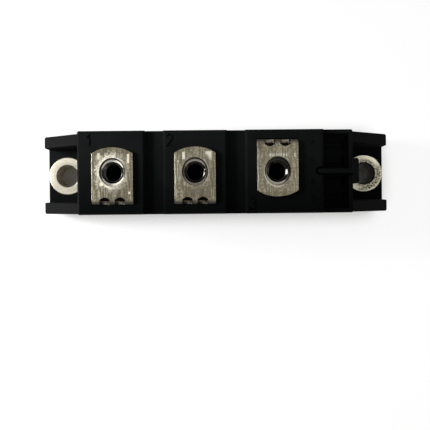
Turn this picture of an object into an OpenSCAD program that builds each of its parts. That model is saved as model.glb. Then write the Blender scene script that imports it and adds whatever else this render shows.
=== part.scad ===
// Dual diode power module: a copper base plate that bolts to a heat sink, a moulded housing,
// three screw terminals on top and, sealed inside, two diodes joined in series.
// The origin is on the base plate's underside, midway between the two mounting holes.

/* [Mounting] */
// Distance between the centres of the two mounting holes
hole_pitch = 80; // [78:0.5:83]
// Diameter of the screw passage through bush and base plate
mount_bore_d = 5.6; // [5.2:0.1:6.4]
// Outer diameter of the steel mounting bushes
bush_d = 10.2; // [9:0.1:11]
// Height by which a bush stands proud of the flange
bush_proud = 0.2; // [0.1:0.05:0.5]
// Chamfer on the rim of a bush
bush_chamfer = 0.3; // [0.1:0.05:0.6]

/* [Base plate] */
// Base plate beyond each mounting hole's centre
base_margin = 5.5; // [5.5:0.1:7]
// Width of the base plate
base_w = 20; // [19:0.1:22]
// Thickness of the base plate
base_t = 3; // [2:0.1:4]
// Radius of the base plate's corners
base_corner_r = 1.5; // [0.5:0.1:3]

/* [Housing] */
// Distance from a mounting hole's centre to the housing's end wall
end_gap = 6.35; // [6:0.05:7.5]
// How far the housing's body stands out past each side of the base plate
body_overhang = 0.2; // [0:0.05:0.5]
// Height of the housing above the base plate
body_h = 26; // [25:0.5:32]
// Thickness of the side and end walls
wall_t = 1.8; // [1.2:0.1:2]
// Thickness of the roof below grooves and gate deck
roof_t = 2.2; // [1.2:0.1:3]
// Radius of the housing's upright corners
corner_r = 0.5; // [0.2:0.1:1]
// Bevel along the top edges
edge_bevel = 0.45; // [0.1:0.05:0.8]

/* [Flanges and fins] */
// Flange beyond each mounting hole's centre
flange_margin = 5.05; // [4.5:0.05:5.4]
// How far the flanges and fins stay inside each side of the body
flange_inset = 0.1; // [0:0.05:0.5]
// Thickness of the flanges
flange_t = 5; // [4:0.1:7]
// Thickness of a fin at its top edge
fin_top_t = 2.7; // [1.5:0.1:2.9]
// Thickness of a fin where it meets the flange
fin_root_t = 3.05; // [2:0.05:3.1]
// Height of a fin above the flange at the end wall
fin_inner_h = 15.2; // [8:0.1:17]
// Height of a fin above the flange at its outer end
fin_outer_h = 5.3; // [3:0.1:7.5]

/* [Creepage grooves] */
// Width of the grooves between the terminal blocks
groove_w = 4.4; // [3:0.1:6]
// Depth of the grooves
groove_depth = 1.8; // [1:0.1:2.5]

/* [Gate deck] */
// Length of the lowered deck at the right end
deck_len = 7.35; // [6:0.05:8]
// Drop from the blocks to the deck's rim
rim_drop = 2; // [1:0.1:3]
// Depth of the deck's floor below its rim
deck_depth = 3.2; // [2:0.1:4]
// Thickness of the rim along the sides
rim_side_t = 1; // [0.6:0.05:1.6]
// Thickness of the rim across the end
rim_end_t = 0.8; // [0.6:0.05:1.2]
// Thickness of the middle rib
rib_t = 1.1; // [0.8:0.05:1.6]
// Length of the relief notch round the rib's tip
notch_len = 2; // [1:0.1:2.5]
// Clearance between the rib's tip and its notch
notch_clear = 0.5; // [0.3:0.05:0.8]
// Width of the upright bar at the rib's outer end
bar_w = 6.2; // [4:0.1:7]
// Thickness of that bar
bar_t = 1.3; // [0.8:0.05:1.3]
// Depth to which the bar is set into the end wall
bar_set = 0.2; // [0.1:0.05:0.5]
// Distance from the rib's middle to the inner signal pin slots
inner_pin_y = 2.4; // [2:0.1:2.8]
// Distance from the rib's middle to the outer signal pin slots
outer_pin_y = 6.5; // [6:0.1:7]
// Length of a signal pin slot
pin_slot_len = 2.4; // [1.6:0.1:2.8]
// Width of a signal pin slot
pin_slot_w = 0.8; // [0.5:0.05:1]
// Depth of a signal pin slot
pin_slot_depth = 1.2; // [0.6:0.1:1.4]
// Distance from the end wall to the middle of the pin slots
pin_slot_inset = 2; // [1.6:0.1:2.4]
// Thickness of the guide webs in front of the pin slots
guide_t = 0.5; // [0.4:0.05:0.8]
// Height of the guide webs
guide_h = 1.4; // [0.8:0.1:2]

/* [Terminals] */
// Place of the first terminal's screw, measured from the origin
first_terminal_x = -25; // [-26:0.1:-24]
// Distance between neighbouring terminal screws
terminal_pitch = 20; // [19.5:0.1:20.5]
// Width of the terminal strips
strip_w = 10; // [8:0.1:10.4]
// Thickness of the terminal strips
strip_t = 1; // [0.8:0.05:1.2]
// Distance from the screw to the strip's rounded end
hole_to_end = 6.1; // [5.5:0.1:7]
// Gap between a strip's leg and the housing's side wall
leg_gap = 0.5; // [0.4:0.05:0.7]
// Radius of the rounded end
end_r = 9.3; // [8:0.1:14]
// Inner radius of the bends
bend_r = 0.5; // [0.3:0.05:0.8]
// Width of the screw slot
screw_slot_w = 5.8; // [5.3:0.1:6.2]
// Length of the screw slot
screw_slot_len = 6.5; // [6.3:0.1:7.5]
// Diameter of the two relief holes in each bend
relief_d = 2.7; // [2:0.1:3]
// Distance between the two relief holes
relief_pitch = 3.7; // [3.4:0.1:5]
// How far the relief holes reach from the bend
relief_reach = 1.9; // [1.6:0.05:2.1]
// Clearance round a strip where it passes the roof
slot_clear = 0.1; // [0.05:0.05:0.2]

/* [Terminal nuts] */
// Width across flats
nut_af = 8; // [7:0.1:8.4]
// Height of a nut
nut_h = 4; // [3:0.1:5]
// Bore of a nut, at the thread's crests
nut_bore_d = 4.2; // [3.8:0.05:4.6]
// Chamfer of the hexagon's corners
nut_chamfer = 0.4; // [0.2:0.05:0.6]
// Clearance between a nut and its pocket
nut_clear = 0.1; // [0.05:0.05:0.3]
// Diameter of the screw's room below a nut
screw_room_d = 5.6; // [5.2:0.1:6.2]
// Depth of the screw's room below a nut
screw_room_h = 6.4; // [4:0.1:7]
// Plastic beside and below the nut pocket
tower_wall = 1.9; // [1.2:0.1:2]
// Gap between a nut tower and the strip's leg
tower_gap = 0.9; // [0.5:0.05:1.2]
// Radius of a nut tower's upright corners
tower_r = 1.5; // [0.5:0.1:2.5]

/* [Substrates and diodes] */
// Gap between the ceramic tiles and the walls
tile_gap = 0.6; // [0.4:0.05:0.8]
// Thickness of a ceramic tile
tile_t = 0.63; // [0.3:0.01:1]
// Gap between the two ceramic tiles
tile_split = 1; // [0.8:0.1:2]
// Thickness of the copper bonded to a tile
foil_t = 0.3; // [0.2:0.01:0.5]
// Bare ceramic round the lower foil
lower_inset = 0.5; // [0.3:0.05:1]
// Bare ceramic round the circuit foil
upper_inset = 0.8; // [0.6:0.05:1]
// Diameter of the lower contact disc
lower_disc_d = 10; // [9:0.1:10.5]
// Diameter of the upper contact disc
upper_disc_d = 7; // [5:0.1:7.5]
// Thickness of the contact discs
disc_t = 0.5; // [0.3:0.05:0.8]
// Side of a square diode chip
chip_w = 8; // [6:0.1:8]
// Thickness of a diode chip
chip_t = 0.4; // [0.2:0.05:0.6]
// Distance from the middle line to the end of a foot on a diode
foot_reach = 4.4; // [4:0.1:5]
// Length of the second terminal's foot on its foil
foil_foot_len = 5.4; // [4:0.1:6]

/* [Midpoint link] */
// Width of the link strip
link_w = 4; // [3:0.1:4.2]
// Thickness of the link strip
link_t = 0.8; // [0.5:0.05:1]
// Distance from the end of the first terminal's foot to the link's side
link_set = 0.2; // [0.1:0.05:0.4]
// Half length of the link's seat on the first terminal
link_seat = 3; // [2:0.1:4]
// Length of the link's foot on the second tile
link_foot = 5; // [4:0.1:5.5]
// Distance between the link's foot and the second diode's disc
link_gap = 1; // [0.6:0.1:1.4]

/* [Sealing] */
// Width of the adhesive bead under the walls
seal_w = 0.8; // [0.4:0.05:1]
// Height of the adhesive bead
seal_h = 0.6; // [0.3:0.05:1]
// Height of the soft gel above the base plate
gel_h = 9; // [7:0.1:10]
// Depth by which the nut towers dip into the hard resin
resin_cover = 2.5; // [1:0.1:3]

/* [Hidden] */
$fn = 64;
hex = 6;
// Length by which cuts run past a face and joined forms run into each other
over = 0.4;

// Heights
flange_z = base_t + flange_t;
top_z = base_t + body_h;
plate_z = top_z + strip_t;
groove_z = top_z - groove_depth;
ceiling_z = groove_z - roof_t;
rim_z = top_z - rim_drop;
deck_z = rim_z - deck_depth;
deck_ceiling_z = deck_z - roof_t;
pocket_z = top_z - nut_clear - nut_h;
tower_z = pocket_z - screw_room_h - tower_wall;
gel_z = base_t + gel_h;
resin_z = tower_z + resin_cover;
tile_z = base_t + foil_t;
circuit_z = tile_z + tile_t;
disc_z = circuit_z + foil_t;
chip_z = disc_z + disc_t;
upper_disc_z = chip_z + chip_t;
foot_z = upper_disc_z + disc_t;
link_z = foot_z + strip_t;

// Lengths and widths
body_end = hole_pitch / 2 - end_gap;
flange_end = hole_pitch / 2 + flange_margin;
base_end = hole_pitch / 2 + base_margin;
body_w = base_w + 2 * body_overhang;
flange_w = body_w - 2 * flange_inset;
inner_end = body_end - wall_t;
inner_side = body_w / 2 - wall_t;
hole_to_bend = inner_side - leg_gap;
deck_x = body_end - deck_len;
notch_x = deck_x - notch_len;
notch_w = rib_t + 2 * notch_clear;
deck_room_x = notch_x - wall_t;
bar_x = body_end - bar_set + bar_t / 2;
pin_slot_x = body_end - pin_slot_inset;
pin_y = [-outer_pin_y, -inner_pin_y, inner_pin_y, outer_pin_y];
terminal_x = [for (i = [0:2]) first_terminal_x + i * terminal_pitch];
groove_x = [for (i = [0:1]) (terminal_x[i] + terminal_x[i + 1]) / 2];
tower_w = nut_af + 2 * (nut_clear + tower_wall);
tower_depth = 2 * (hole_to_bend - strip_t - tower_gap);
bend_outer_r = bend_r + strip_t;
foil_foot_end = foil_foot_len - hole_to_bend + strip_t;

// The tiles part beside the second terminal's foot
split_x = terminal_x[1] + strip_w / 2 + upper_inset + tile_split;
tile_side = inner_side - tile_gap;
left_tile = [tile_gap - inner_end, split_x - tile_split / 2];
right_tile = [split_x + tile_split / 2, inner_end - tile_gap];
link_y = foot_reach - link_set - link_w / 2;
link_end_x = terminal_x[2] - lower_disc_d / 2 - link_gap;

// A box between two limits on each axis
module span(x, y, z) {
    translate([x[0], y[0], z[0]]) cube([x[1] - x[0], y[1] - y[0], z[1] - z[0]]);
}

// A rectangle with round corners, centred
module round_rect(len, wid, r) {
    square([len - 2 * r, wid], center = true);
    square([len, wid - 2 * r], center = true);
    for (sx = [-1, 1], sy = [-1, 1])
        translate([sx * (len / 2 - r), sy * (wid / 2 - r)]) circle(r);
}

// A slot with round ends along Y, centred, of full length len
module round_slot(wid, len) {
    square([wid, len - wid], center = true);
    for (s = [-1, 1]) translate([0, s * (len - wid) / 2]) circle(d = wid);
}

// Stands a profile drawn in X and Z upright, with a depth along Y about the middle plane
module along_y(depth) {
    rotate([90, 0, 0]) linear_extrude(depth, center = true) children();
}

// Stands a profile drawn in Y and Z upright, with a length along X about the middle plane
module along_x(length) {
    rotate([90, 0, 90]) linear_extrude(length, center = true) children();
}

// Puts a piece drawn at the origin on each mounting hole
module at_mounts() {
    for (s = [-1, 1]) translate([s * hole_pitch / 2, 0, 0]) children();
}

// Puts a piece drawn at the origin on terminal i, the third one turned about
module at_terminal(i) {
    translate([terminal_x[i], 0, 0]) rotate([0, 0, i == 2 ? 180 : 0]) children();
}

module base_plate() {
    color("#b9b4a8") difference() {
        linear_extrude(base_t) round_rect(2 * base_end, base_w, base_corner_r);
        at_mounts() translate([0, 0, -over]) cylinder(d = mount_bore_d, h = base_t + 2 * over);
    }
}

// One mounting bush: a turned spacer that takes the screw's clamping force past the plastic
module bush() {
    bore_r = mount_bore_d / 2;
    rim_r = bush_d / 2;
    rim_z = flange_z + bush_proud;
    rotate_extrude() polygon([
        [bore_r, base_t], [rim_r, base_t], [rim_r, rim_z - bush_chamfer / 2],
        [rim_r - bush_chamfer / 2, rim_z], [bore_r + bush_chamfer, rim_z],
        [bore_r, rim_z - bush_chamfer]
    ]);
}

module mounting_bush_left() {
    color("#e6e0d2") translate([-hole_pitch / 2, 0, 0]) bush();
}

module mounting_bush_right() {
    color("#e6e0d2") translate([hole_pitch / 2, 0, 0]) bush();
}

// The bevelled lips and the floor of one creepage groove, as points from left to right
function groove_points(x) = [
    [x - groove_w / 2 - edge_bevel, top_z], [x - groove_w / 2, top_z - edge_bevel],
    [x - groove_w / 2, groove_z], [x + groove_w / 2, groove_z],
    [x + groove_w / 2, top_z - edge_bevel], [x + groove_w / 2 + edge_bevel, top_z]
];

// The body's long section: three blocks, two grooves and the lowered gate deck
module body_section() {
    polygon(concat(
        [[-body_end, base_t], [-body_end, top_z - edge_bevel], [edge_bevel - body_end, top_z]],
        groove_points(groove_x[0]),
        groove_points(groove_x[1]),
        [[deck_x - edge_bevel, top_z], [deck_x, top_z - edge_bevel], [deck_x, rim_z]],
        [[body_end, rim_z], [body_end, base_t]]
    ));
}

// The body with bevelled long edges and round upright corners
module body_block() {
    intersection() {
        along_y(body_w) body_section();
        along_x(2 * body_end) polygon([
            [-body_w / 2, base_t], [body_w / 2, base_t], [body_w / 2, top_z - edge_bevel],
            [body_w / 2 - edge_bevel, top_z], [edge_bevel - body_w / 2, top_z],
            [-body_w / 2, top_z - edge_bevel]
        ]);
        linear_extrude(top_z + over) round_rect(2 * body_end, body_w, corner_r);
    }
}

// Both fins of the right end: drafted inside, with a top edge that slopes down outwards
module fin_pair() {
    outer = flange_w / 2;
    fin_z = flange_z + fin_inner_h;
    tip_z = flange_z + fin_outer_h;
    intersection() {
        along_x(2 * flange_end) for (s = [-1, 1]) polygon([
            [s * outer, base_t], [s * outer, fin_z], [s * (outer - fin_top_t), fin_z],
            [s * (outer - fin_root_t), flange_z], [s * (outer - fin_root_t), base_t]
        ]);
        along_y(flange_w) polygon([
            [body_end - over, base_t], [flange_end, base_t], [flange_end, tip_z],
            [body_end, fin_z], [body_end - over, fin_z]
        ]);
    }
}

// Flanges and fins of both ends, with round upright corners
module flange_block() {
    intersection() {
        union() {
            span([-flange_end, flange_end], [-flange_w / 2, flange_w / 2], [base_t, flange_z]);
            fin_pair();
            mirror([1, 0, 0]) fin_pair();
        }
        linear_extrude(top_z) round_rect(2 * flange_end, flange_w, corner_r);
    }
}

// The hollow of the housing, open below, with the three nut towers left standing
module cavity() {
    difference() {
        union() {
            span([-inner_end, deck_room_x], [-inner_side, inner_side], [base_t, ceiling_z]);
            span([-inner_end, inner_end], [-inner_side, inner_side], [base_t, deck_ceiling_z]);
        }
        for (i = [0:2]) at_terminal(i) translate([0, 0, tower_z])
            linear_extrude(top_z - tower_z) round_rect(tower_w, tower_depth, tower_r);
    }
}

// The well of the gate deck, with the relief notch that it cuts into the third block
module deck_well() {
    well_side = body_w / 2 - rim_side_t;
    span([deck_x, body_end - rim_end_t], [-well_side, well_side], [deck_z, rim_z + over]);
    translate([notch_x + notch_w / 2, 0, deck_z]) linear_extrude(top_z - deck_z + over) {
        circle(d = notch_w);
        translate([0, -notch_w / 2]) square([deck_x - notch_x, notch_w]);
    }
}

// What stands on the gate deck: the middle rib with its end bar, and the guide webs
module deck_ribs() {
    tip_x = notch_x + notch_clear + rib_t / 2;
    translate([tip_x, 0, deck_z - over]) linear_extrude(top_z - deck_z + over) {
        circle(d = rib_t);
        translate([0, -rib_t / 2]) square([bar_x - tip_x, rib_t]);
    }
    translate([bar_x, 0, flange_z - over])
        linear_extrude(top_z - flange_z + over) round_slot(bar_t, bar_w);
    for (y = pin_y) span(
        [deck_x - over, pin_slot_x - pin_slot_w],
        [y - guide_t / 2, y + guide_t / 2],
        [deck_z - over, deck_z + guide_h]
    );
}

// The blind slots for signal pins, empty on a diode module
module pin_slots() {
    for (y = pin_y) span(
        [pin_slot_x - pin_slot_w / 2, pin_slot_x + pin_slot_w / 2],
        [y - pin_slot_len / 2, y + pin_slot_len / 2],
        [deck_z - pin_slot_depth, deck_z + over]
    );
}

// Under one terminal: the nut's hexagonal pocket, the screw's room and the strip's way down,
// with a round lip under the strip's upper bend
module terminal_cuts() {
    lip_y = strip_t + slot_clear - hole_to_bend;
    lip_r = bend_r + slot_clear;
    translate([0, 0, pocket_z])
        cylinder(d = (nut_af + 2 * nut_clear) / cos(30), h = top_z - pocket_z + over, $fn = hex);
    translate([0, 0, pocket_z - screw_room_h]) cylinder(d = screw_room_d, h = screw_room_h + over);
    span(
        [-strip_w / 2 - slot_clear, strip_w / 2 + slot_clear],
        [-hole_to_bend - slot_clear, lip_y],
        [ceiling_z - over, top_z + over]
    );
    along_x(strip_w + 2 * slot_clear) translate([lip_y, top_z - lip_r]) difference() {
        translate([-over, 0]) square(lip_r + over);
        translate([lip_r, 0]) circle(lip_r);
    }
}

// The room for the adhesive bead along the foot of the walls
module seal_ring() {
    difference() {
        span(
            [-inner_end - seal_w, inner_end + seal_w],
            [-inner_side - seal_w, inner_side + seal_w],
            [base_t, base_t + seal_h]
        );
        span([-inner_end, inner_end], [-inner_side, inner_side], [base_t - over, base_t + seal_h + over]);
    }
}

module housing() {
    color("#17181a") difference() {
        union() {
            difference() {
                union() {
                    body_block();
                    flange_block();
                }
                deck_well();
                pin_slots();
            }
            deck_ribs();
        }
        cavity();
        seal_ring();
        for (i = [0:2]) at_terminal(i) terminal_cuts();
        at_mounts() translate([0, 0, base_t - over]) cylinder(d = bush_d, h = flange_t + 2 * over);
    }
}

// A terminal strip's side section: top plate, upper bend, leg, lower bend and foot
module strip_section(level, foot_end) {
    leg_y = -hole_to_bend;
    turn_y = leg_y + bend_outer_r;
    translate([turn_y, plate_z - strip_t]) square([hole_to_end - turn_y, strip_t]);
    translate([leg_y, level + bend_outer_r])
        square([strip_t, plate_z - level - 2 * bend_outer_r]);
    translate([turn_y, level]) square([foot_end - turn_y, strip_t]);
    for (end = [[plate_z - bend_outer_r, 0], [level + bend_outer_r, -bend_outer_r]])
        translate([turn_y, end[0]]) intersection() {
            difference() {
                circle(bend_outer_r);
                circle(bend_r);
            }
            translate([-bend_outer_r, end[1]]) square(bend_outer_r);
        }
}

// The two relief holes, punched on the line of the upper bend and folded over with it
module relief_holes() {
    rise = relief_reach - relief_d / 2;
    for (s = [-1, 1]) translate([s * relief_pitch / 2, -hole_to_bend, 0]) {
        translate([0, 0, top_z]) linear_extrude(strip_t + over) {
            translate([0, rise]) circle(d = relief_d);
            translate([-relief_d / 2, -over]) square([relief_d, rise + over]);
        }
        translate([0, bend_outer_r, plate_z - rise])
            rotate([90, 0, 0]) cylinder(d = relief_d, h = bend_outer_r + over);
    }
}

// One terminal: a plated copper strip, punched and bent, its foot at the given level
module terminal(level, foot_end) {
    difference() {
        intersection() {
            along_x(strip_w) strip_section(level, foot_end);
            translate([0, hole_to_end - end_r, 0]) cylinder(r = end_r, h = plate_z + over);
        }
        translate([0, 0, top_z - over])
            linear_extrude(strip_t + 2 * over) round_slot(screw_slot_w, screw_slot_len);
        relief_holes();
    }
}

module terminal_1() {
    color("#bdb7a9") at_terminal(0) terminal(foot_z, foot_reach);
}

module terminal_2() {
    color("#bdb7a9") at_terminal(1) terminal(disc_z, foil_foot_end);
}

module terminal_3() {
    color("#bdb7a9") at_terminal(2) terminal(foot_z, foot_reach);
}

// Three hexagon nuts, one loose in each pocket
module terminal_nuts() {
    corner_r = nut_af / cos(30) / 2;
    flat_r = nut_af / 2;
    color("#a9a498") for (i = [0:2]) at_terminal(i) translate([0, 0, pocket_z]) difference() {
        intersection() {
            cylinder(r = corner_r, h = nut_h, $fn = hex);
            rotate_extrude() polygon([
                [0, 0], [flat_r, 0], [corner_r, nut_chamfer],
                [corner_r, nut_h - nut_chamfer], [flat_r, nut_h], [0, nut_h]
            ]);
        }
        translate([0, 0, -over]) cylinder(d = nut_bore_d, h = nut_h + 2 * over);
    }
}

// A flat layer of a substrate over one tile, smaller than the tile by an inset
module layer(tile, inset, z, t) {
    span(
        [tile[0] + inset, tile[1] - inset],
        [inset - tile_side, tile_side - inset],
        [z, z + t]
    );
}

module lower_foil_left() {
    color("#c98a5b") layer(left_tile, lower_inset, base_t, foil_t);
}

module lower_foil_right() {
    color("#c98a5b") layer(right_tile, lower_inset, base_t, foil_t);
}

module ceramic_tile_left() {
    color("#ece9e0") layer(left_tile, 0, tile_z, tile_t);
}

module ceramic_tile_right() {
    color("#ece9e0") layer(right_tile, 0, tile_z, tile_t);
}

module circuit_foil_left() {
    color("#c98a5b") layer(left_tile, upper_inset, circuit_z, foil_t);
}

module circuit_foil_right() {
    color("#c98a5b") layer(right_tile, upper_inset, circuit_z, foil_t);
}

// A molybdenum contact disc of the stack that sits under the end of terminal i
module disc(i, d, z) {
    color("#8f9196") at_terminal(i) translate([0, 0, z]) cylinder(d = d, h = disc_t);
}

module lower_disc_left() {
    disc(0, lower_disc_d, disc_z);
}

module lower_disc_right() {
    disc(2, lower_disc_d, disc_z);
}

module upper_disc_left() {
    disc(0, upper_disc_d, upper_disc_z);
}

module upper_disc_right() {
    disc(2, upper_disc_d, upper_disc_z);
}

// A square diode chip between the two discs under terminal i
module chip(i) {
    color("#4a4e57") at_terminal(i)
        span([-chip_w / 2, chip_w / 2], [-chip_w / 2, chip_w / 2], [chip_z, chip_z + chip_t]);
}

module diode_chip_left() {
    chip(0);
}

module diode_chip_right() {
    chip(2);
}

// The strip that joins the first diode's upper side to the second diode's foil
module midpoint_link() {
    seat_x = terminal_x[0] - link_seat;
    step_x = link_end_x - link_foot;
    color("#c98a5b") translate([0, link_y, 0]) along_y(link_w) polygon([
        [seat_x, link_z], [step_x, link_z], [step_x, disc_z], [link_end_x, disc_z],
        [link_end_x, disc_z + link_t], [step_x + link_t, disc_z + link_t],
        [step_x + link_t, link_z + link_t], [seat_x, link_z + link_t]
    ]);
}

module adhesive_seal() {
    color("#5a5650") seal_ring();
}

// A layer of the cavity between two heights, as wide as the walls allow
module cavity_layer(z0, z1) {
    intersection() {
        cavity();
        span([-body_end, body_end], [-body_w / 2, body_w / 2], [z0, z1]);
    }
}

// Soft gel that covers the substrates, the diodes and the lower ends of the strips
module silicone_gel() {
    color("#dfe3e6", 0.5) difference() {
        cavity_layer(base_t, gel_z);
        lower_foil_left();
        lower_foil_right();
        ceramic_tile_left();
        ceramic_tile_right();
        circuit_foil_left();
        circuit_foil_right();
        lower_disc_left();
        lower_disc_right();
        diode_chip_left();
        diode_chip_right();
        upper_disc_left();
        upper_disc_right();
        midpoint_link();
        terminal_1();
        terminal_2();
        terminal_3();
    }
}

// Hard resin above the gel, which holds the strips and the lower ends of the nut towers
module epoxy_fill() {
    color("#2a2622") difference() {
        cavity_layer(gel_z, resin_z);
        terminal_1();
        terminal_2();
        terminal_3();
    }
}

base_plate();
housing();
mounting_bush_left();
mounting_bush_right();
terminal_1();
terminal_2();
terminal_3();
terminal_nuts();
lower_foil_left();
lower_foil_right();
ceramic_tile_left();
ceramic_tile_right();
circuit_foil_left();
circuit_foil_right();
lower_disc_left();
lower_disc_right();
diode_chip_left();
diode_chip_right();
upper_disc_left();
upper_disc_right();
midpoint_link();
adhesive_seal();
silicone_gel();
epoxy_fill();
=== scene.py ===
import math

import bmesh
import bpy
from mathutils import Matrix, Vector


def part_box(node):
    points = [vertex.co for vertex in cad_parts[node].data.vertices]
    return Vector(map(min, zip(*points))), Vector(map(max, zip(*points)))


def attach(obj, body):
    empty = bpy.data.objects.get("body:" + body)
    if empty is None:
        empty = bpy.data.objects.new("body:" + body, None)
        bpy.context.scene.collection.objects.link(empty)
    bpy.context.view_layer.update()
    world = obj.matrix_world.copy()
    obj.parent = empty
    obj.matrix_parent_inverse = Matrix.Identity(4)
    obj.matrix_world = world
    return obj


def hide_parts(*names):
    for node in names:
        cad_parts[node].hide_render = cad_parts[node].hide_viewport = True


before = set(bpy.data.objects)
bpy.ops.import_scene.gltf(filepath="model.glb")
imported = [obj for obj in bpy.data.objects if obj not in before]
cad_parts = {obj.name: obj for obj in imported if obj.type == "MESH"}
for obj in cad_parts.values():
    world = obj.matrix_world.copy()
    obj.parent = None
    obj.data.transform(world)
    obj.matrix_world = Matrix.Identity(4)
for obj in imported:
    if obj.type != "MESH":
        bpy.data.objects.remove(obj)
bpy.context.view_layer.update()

# Base plate
# A flat bar of nickel-plated copper that carries the whole module and takes its heat into a heat sink.
# It is cut from rolled strip, so its edges are lightly broken and fine rolling lines run along it.
mm = 0.001
base_edge_r = 0.25 * mm
edge_steps = 2
merge_gap = 0.001 * mm
flat_angle = math.radians(0.5)
sharp_angle = math.radians(35)
smooth_angle = math.radians(30)
nickel_pale = (0.69, 0.620, 0.435, 1)
nickel_dull = (0.50, 0.443, 0.31, 1)
rolled_rough = (0.28, 0.42)
rolling_stretch = (0.12, 5.0, 5.0)
line_detail = 3.0
line_depth = 0.02 * mm
line_strength = 0.3
cloud_scale = 0.35
noise_mean = 0.5
noise_middle = (0.3, 0.7)


def take(piece):
    """Makes one piece the only selected one, and the active one."""
    bpy.ops.object.select_all(action="DESELECT")
    piece.select_set(True)
    bpy.context.view_layer.objects.active = piece


def apply_modifier(piece, kind, **settings):
    """Adds a modifier to a piece, sets it and applies it."""
    take(piece)
    modifier = piece.modifiers.new(kind.lower(), kind)
    for name, value in settings.items():
        setattr(modifier, name, value)
    bpy.ops.object.modifier_apply(modifier=modifier.name)


def eased_copy(node, name, edge_r, stays_sharp=None):
    """A copy of a CAD node as one closed skin, its edges rounded but for those that stay sharp."""
    piece = bpy.data.objects.new(name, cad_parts[node].data.copy())
    bpy.context.scene.collection.objects.link(piece)
    take(piece)
    bpy.ops.mesh.customdata_custom_splitnormals_clear()
    bpy.ops.object.mode_set(mode="EDIT")
    bpy.ops.mesh.select_mode(type="EDGE")
    bpy.ops.mesh.select_all(action="SELECT")
    bpy.ops.mesh.remove_doubles(threshold=merge_gap)
    bpy.ops.mesh.dissolve_limited(angle_limit=flat_angle)
    bpy.ops.mesh.select_all(action="DESELECT")
    bpy.ops.mesh.edges_select_sharp(sharpness=sharp_angle)
    skin = bmesh.from_edit_mesh(piece.data)
    eased = [edge for edge in skin.edges if edge.select]
    if stays_sharp:
        eased = [edge for edge in eased if not stays_sharp(*(end.co for end in edge.verts))]
    bpy.ops.mesh.select_all(action="DESELECT")
    for edge in eased:
        edge.select_set(True)
    bmesh.update_edit_mesh(piece.data)
    bpy.ops.mesh.bevel(offset=edge_r, segments=edge_steps, clamp_overlap=False, loop_slide=False)
    bpy.ops.object.mode_set(mode="OBJECT")
    return piece


def finish_piece(piece, material, node):
    """Gives a new piece its material and smooth shading, hangs it on the root and hides the CAD node it
    replaces.
    """
    piece.data.materials.clear()
    piece.data.materials.append(material)
    take(piece)
    bpy.ops.object.shade_smooth_by_angle(angle=smooth_angle)
    apply_modifier(piece, "WEIGHTED_NORMAL", keep_sharp=True)
    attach(piece, "root")
    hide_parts(node)


def give(tree, made, sockets):
    """Sets a node's sockets. One that is given another node's output is linked to it."""
    for name, value in sockets.items():
        if isinstance(value, bpy.types.NodeSocket):
            tree.links.new(value, made.inputs[name])
        else:
            made.inputs[name].default_value = value


def add(tree, kind, sockets=None, **settings):
    """Adds a shader node with its sockets, by name or number, and its settings."""
    made = tree.nodes.new("ShaderNode" + kind)
    for name, value in settings.items():
        setattr(made, name, value)
    give(tree, made, sockets or {})
    return made


def new_material(name):
    """A material, its node tree and its shader."""
    material = bpy.data.materials.new(name)
    material.use_nodes = True
    return material, material.node_tree, material.node_tree.nodes["Principled BSDF"]


def set_sockets(tree, made, **sockets):
    """Sets or links a node's sockets by name, with underscores for spaces."""
    give(tree, made, {name.replace("_", " "): value for name, value in sockets.items()})


def in_mm(tree, centre_x=0.0):
    """The piece's own coordinates in millimetres, measured from a place along the module."""
    place = add(tree, "TexCoord")
    return add(tree, "Mapping", {
        "Vector": place.outputs["Object"],
        "Location": (-centre_x / mm, 0, 0),
        "Scale": (1 / mm, 1 / mm, 1 / mm),
    }).outputs["Vector"]


def vector_from(tree, operation, *given):
    """The vector that an operation makes of vectors."""
    return add(tree, "VectorMath", dict(enumerate(given)), operation=operation).outputs["Vector"]


def noise(tree, place, scale=1.0, detail=4.0):
    """An even cloudy pattern, with its scale in clouds per millimetre."""
    return add(tree, "TexNoise", {"Vector": place, "Scale": scale, "Detail": detail}).outputs["Fac"]


def blend(tree, factor, low, high):
    """A colour between two colours."""
    return add(tree, "Mix", {0: factor, 6: low, 7: high}, data_type="RGBA").outputs[2]


def ranged(tree, value, low, high, to_low=0.0, to_high=1.0):
    """A value taken smoothly from one range to another."""
    return add(tree, "MapRange", {
        "Value": value, "From Min": low, "From Max": high, "To Min": to_low, "To Max": to_high,
    }, interpolation_type="SMOOTHSTEP").outputs["Result"]


def varied(tree, pattern, limits):
    """A value between two limits that follows a noise pattern, which mostly stays in its middle."""
    return ranged(tree, pattern, *noise_middle, *limits)


def bumped(tree, height, depth, strength=1.0):
    """A normal from a height of 0 to 1 that stands for a depth."""
    return add(tree, "Bump", {"Height": height, "Distance": depth, "Strength": strength}).outputs["Normal"]


def new_group(name, inputs, outputs):
    """A shader node group with its inputs, by name and default, and its outputs, by name."""
    group = bpy.data.node_groups.new(name, "ShaderNodeTree")
    for socket, default in inputs.items():
        kind = "NodeSocketVector" if isinstance(default, tuple) else "NodeSocketFloat"
        made = group.interface.new_socket(socket, in_out="INPUT", socket_type=kind)
        made.default_value = default
    for socket in outputs:
        group.interface.new_socket(socket, in_out="OUTPUT", socket_type="NodeSocketFloat")
    return group, group.nodes.new("NodeGroupInput").outputs, group.nodes.new("NodeGroupOutput").inputs


def use_group(tree, group, **sockets):
    """Places a node group in a tree and returns its outputs."""
    made = add(tree, "Group", node_tree=group)
    set_sockets(tree, made, **sockets)
    return made.outputs


# Fine parallel lines of rolling or brushing, and broad dull clouds
brush_lines, given, result = new_group(
    "brush_lines", {"Place": (0, 0, 0), "Stretch": (1, 1, 1)}, ("Lines", "Clouds")
)
drawn_out = vector_from(brush_lines, "MULTIPLY", given["Place"], given["Stretch"])
brush_lines.links.new(noise(brush_lines, drawn_out, detail=line_detail), result["Lines"])
brush_lines.links.new(noise(brush_lines, given["Place"], cloud_scale), result["Clouds"])

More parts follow.
